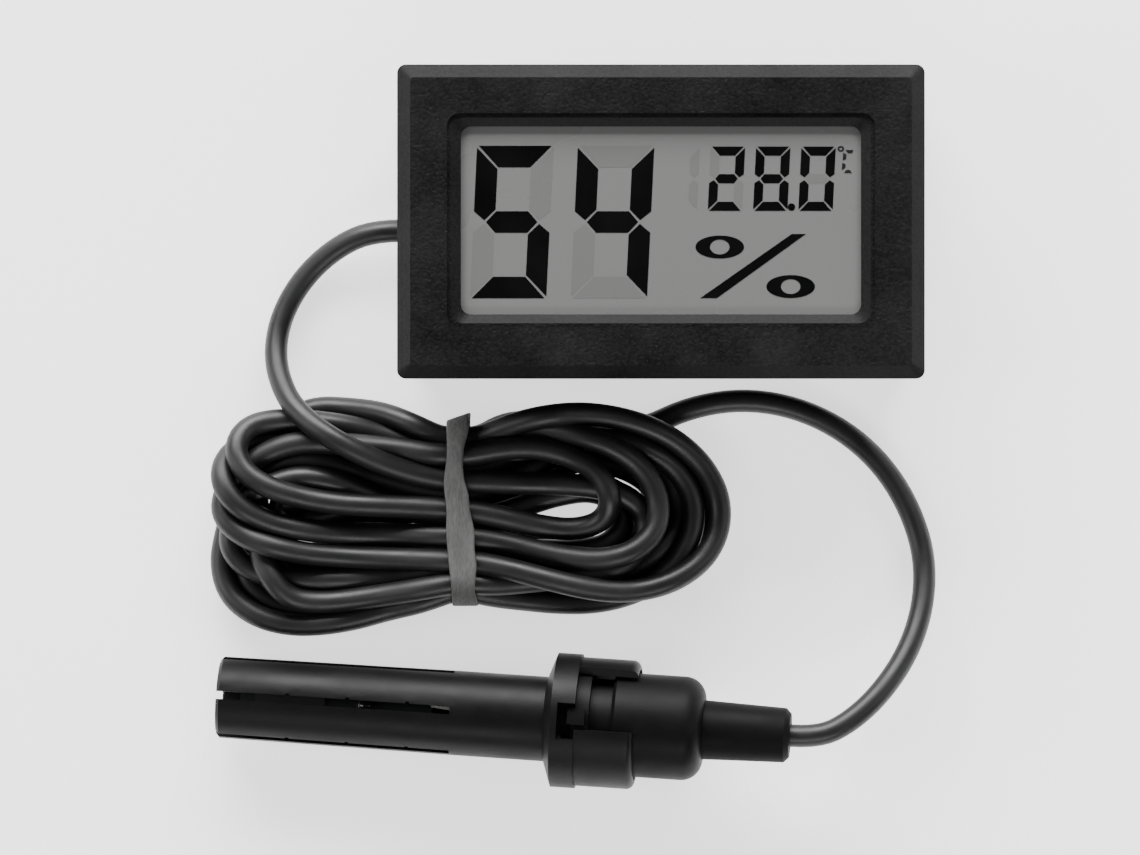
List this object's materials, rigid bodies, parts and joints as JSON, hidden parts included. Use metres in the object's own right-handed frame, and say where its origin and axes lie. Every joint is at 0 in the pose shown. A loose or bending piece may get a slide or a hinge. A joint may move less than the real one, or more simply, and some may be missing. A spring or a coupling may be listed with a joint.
{
  "type": "panel thermometer and hygrometer with wired probe",
  "caption": "Small rectangular panel display for temperature and humidity, with a long thin cable wound into a banded hank and a slotted barrel probe on its end.",
  "frame": {"origin": "centre of the display case's back face, on the surface that the object lies on", "axes": "+Z out of the screen, +X to the reader's right, +Y to the top of the screen; the cable leaves the -X side"},
  "size_m": [0.067, 0.0661, 0.0152],
  "materials": {
    "case_plastic": "fine spark-eroded black ABS with a smooth bevel",
    "rear_plastic": "black ABS, lightly textured",
    "clip_plastic": "black acetal, smooth",
    "lcd_glass": "polished glass",
    "lcd_film": "anti-glare film",
    "reflector_film": "brushed reflective film",
    "spacer_plastic": "white moulded plastic",
    "zebra_rubber": "banded silicone rubber",
    "board": "green solder mask",
    "screw_steel": "zinc-plated steel",
    "epoxy": "glossy black epoxy",
    "can_metal": "tinned can",
    "resistor": "black chip with tinned ends",
    "capacitor": "tan ceramic",
    "contact_metal": "nickel-plated spring steel",
    "cell_metal": "stainless steel can",
    "grommet_rubber": "black rubber",
    "wire_insulation": "coloured wire insulation",
    "cable_pvc": "semi-gloss black PVC",
    "band_rubber": "grey rubber band",
    "probe_plastic": "semi-matte black ABS",
    "cap_plastic": "semi-matte black ABS",
    "boot_rubber": "semi-matte black PVC",
    "sensor_ceramic": "ceramic with a dark sensing film"
  },
  "bodies": {
    "root": {"front_bezel": "case_plastic", "rear_cover": "rear_plastic", "lcd_front_polariser": "lcd_film", "lcd_front_glass": "lcd_glass", "lcd_rear_glass": "lcd_glass", "lcd_reflector": "reflector_film", "lcd_spacer_frame": "spacer_plastic", "zebra_connector": "zebra_rubber", "circuit_board": "board", "board_screws": "screw_steel", "controller_blob": "epoxy", "crystal_can": "can_metal", "chip_resistors": "resistor", "chip_capacitors": "capacitor", "positive_contact": "contact_metal", "negative_contact": "contact_metal", "button_cell_left": "cell_metal", "button_cell_right": "cell_metal", "cable_grommet": "grommet_rubber", "display_lead_wires": "wire_insulation", "cable_display_lead": "cable_pvc", "cable_hank": "cable_pvc", "rubber_band": "band_rubber", "cable_probe_lead": "cable_pvc", "probe_cap": "cap_plastic", "probe_boot": "boot_rubber", "sensor_board": "board", "humidity_element": "sensor_ceramic", "thermistor_bead": "epoxy", "sensor_lead_wires": "wire_insulation"},
    "battery_door": {"battery_cover": "rear_plastic", "contact_bridge": "contact_metal"},
    "clip_left": {"panel_clip_left": "clip_plastic"},
    "clip_right": {"panel_clip_right": "clip_plastic"},
    "probe_shell": {"probe_barrel": "probe_plastic"}
  },
  "joints": [
    {"name": "battery_door_slide", "type": "slide", "parent": "root", "child": "battery_door", "axis": [0, 1, 0], "range_m": [0, 0.0135]},
    {"name": "clip_left_flex", "type": "hinge", "parent": "root", "child": "clip_left", "pos_m": [-0.0225, 0, 0.0055], "axis": [0, 1, 0], "range_deg": [0, 8], "stiffness_Nm_per_rad": 0.35},
    {"name": "clip_right_flex", "type": "hinge", "parent": "root", "child": "clip_right", "pos_m": [0.0225, 0, 0.0055], "axis": [0, -1, 0], "range_deg": [0, 8], "stiffness_Nm_per_rad": 0.35},
    {"name": "probe_twist", "type": "hinge", "parent": "root", "child": "probe_shell", "pos_m": [-0.01056, -0.04538, 0.00603], "axis": [-0.9948, 0.0661, -0.0771], "range_deg": [0, 24]}
  ]
}
